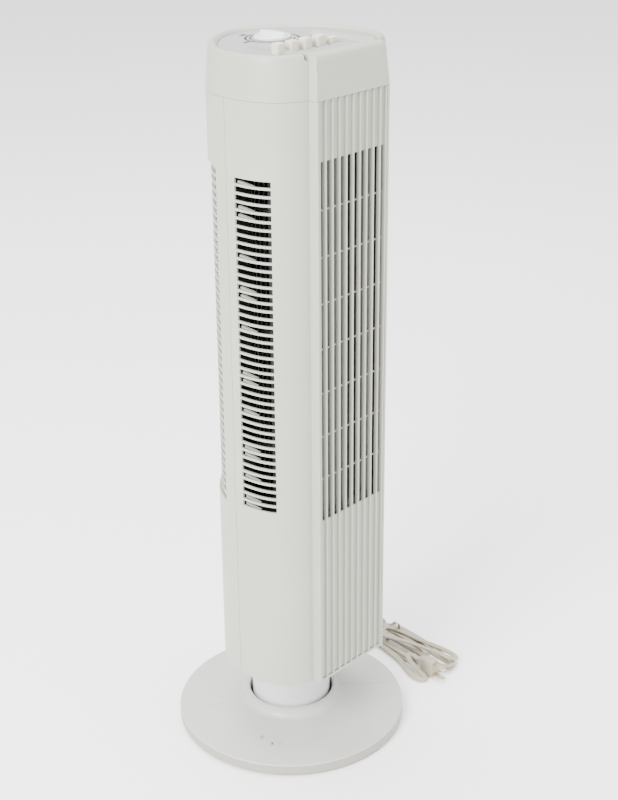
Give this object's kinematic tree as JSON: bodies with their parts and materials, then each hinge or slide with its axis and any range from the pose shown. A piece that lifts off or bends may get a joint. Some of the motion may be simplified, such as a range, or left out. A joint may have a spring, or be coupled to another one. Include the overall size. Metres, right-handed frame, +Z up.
{
  "type": "tower fan",
  "caption": "Tall oscillating tower fan with a ribbed front outlet, slotted sides, top controls, a round two-part base and a tied mains cord.",
  "frame": {"origin": "on the floor, on the axis of the neck and of the round base", "axes": "+Z up along the tower, -Y towards the front outlet, +X to the right of someone who faces the outlet"},
  "size_m": [0.3297, 0.2814, 0.7675],
  "materials": {
    "housing": "satin, warm light grey",
    "base": "satin",
    "neck": "gloss",
    "panel": "fine texture",
    "knob": "gloss",
    "button": "satin",
    "inner": "matte",
    "wheel": "matte",
    "steel": "brushed",
    "copper": "varnished laminations and winding",
    "rubber": "matte",
    "cord": "soft vinyl",
    "brass": "plain"
  },
  "bodies": {
    "base": {"base_front_half": "base", "base_rear_half": "base", "lock_nut": "base", "foot_1": "rubber", "foot_2": "rubber", "foot_3": "rubber", "foot_4": "rubber", "neck": "neck", "thrust_washer": "neck", "retaining_clip": "steel", "yoke_arm": "steel", "strain_relief": "cord", "cord_lead": "cord", "cord_hank": "cord", "cord_tie": "cord", "plug_body": "cord", "plug_blade_1": "brass", "plug_blade_2": "brass"},
    "tower": {"front_shell": "housing", "rear_shell": "housing", "rear_grille": "housing", "front_grille": "housing", "top_cap": "housing", "vane_rack": "housing", "control_panel": "panel", "lower_deck": "inner", "upper_deck": "inner", "scroll_wall": "inner", "cutoff_wall": "inner", "run_capacitor": "inner", "timer_body": "inner", "switch_block": "inner", "turntable_plate": "steel", "oscillation_motor": "steel", "oscillation_bracket": "steel", "housing_screw_1": "steel", "housing_screw_2": "steel", "housing_screw_3": "steel", "housing_screw_4": "steel", "motor_cap_lower": "steel", "motor_cap_upper": "steel", "motor_stator": "copper", "top_bush": "rubber", "motor_grommet_1": "rubber", "motor_grommet_2": "rubber", "motor_grommet_3": "rubber"},
    "wheel": {"blower_wheel": "wheel", "wheel_hub": "rubber", "motor_shaft": "steel", "wheel_top_axle": "steel", "motor_rotor": "steel"},
    "knob": {"timer_knob": "knob", "timer_shaft": "brass"},
    "crank": {"crank": "button"},
    "button_off": {"button_off": "button"},
    "button_low": {"button_low": "button"},
    "button_medium": {"button_medium": "button"},
    "button_high": {"button_high": "button"},
    "button_oscillate": {"button_oscillate": "button"}
  },
  "joints": [
    {"name": "tower_swing", "type": "hinge", "parent": "base", "child": "tower", "pos_m": [0, 0, 0.1], "axis": [0, 0, 1], "range_deg": [-30, 30]},
    {"name": "crank_turn", "type": "hinge", "parent": "tower", "child": "crank", "pos_m": [0, 0.036, 0.1145], "axis": [0, 0, 1], "range_deg": [-105, 105]},
    {"name": "wheel_spin", "type": "hinge", "parent": "tower", "child": "wheel", "pos_m": [0, -0.01, 0.2885], "axis": [0, 0, 1], "continuous": true},
    {"name": "timer_turn", "type": "hinge", "parent": "tower", "child": "knob", "pos_m": [0, 0.012, 0.758], "axis": [0, 0, -1], "range_deg": [0, 300]},
    {"name": "button_off_press", "type": "slide", "parent": "tower", "child": "button_off", "axis": [0, 0, -1], "range_m": [0, 0.003], "stiffness_N_per_m": 400, "springref_m": -0.001},
    {"name": "button_low_press", "type": "slide", "parent": "tower", "child": "button_low", "axis": [0, 0, -1], "range_m": [0, 0.003], "stiffness_N_per_m": 400, "springref_m": -0.001},
    {"name": "button_medium_press", "type": "slide", "parent": "tower", "child": "button_medium", "axis": [0, 0, -1], "range_m": [0, 0.003], "stiffness_N_per_m": 400, "springref_m": -0.001},
    {"name": "button_high_press", "type": "slide", "parent": "tower", "child": "button_high", "axis": [0, 0, -1], "range_m": [0, 0.003], "stiffness_N_per_m": 400, "springref_m": -0.001},
    {"name": "button_oscillate_press", "type": "slide", "parent": "tower", "child": "button_oscillate", "axis": [0, 0, -1], "range_m": [0, 0.003], "stiffness_N_per_m": 400, "springref_m": -0.001}
  ],
  "couplings": [
    {"joint": "crank_turn", "follows": "tower_swing", "ratio": -3.5}
  ]
}
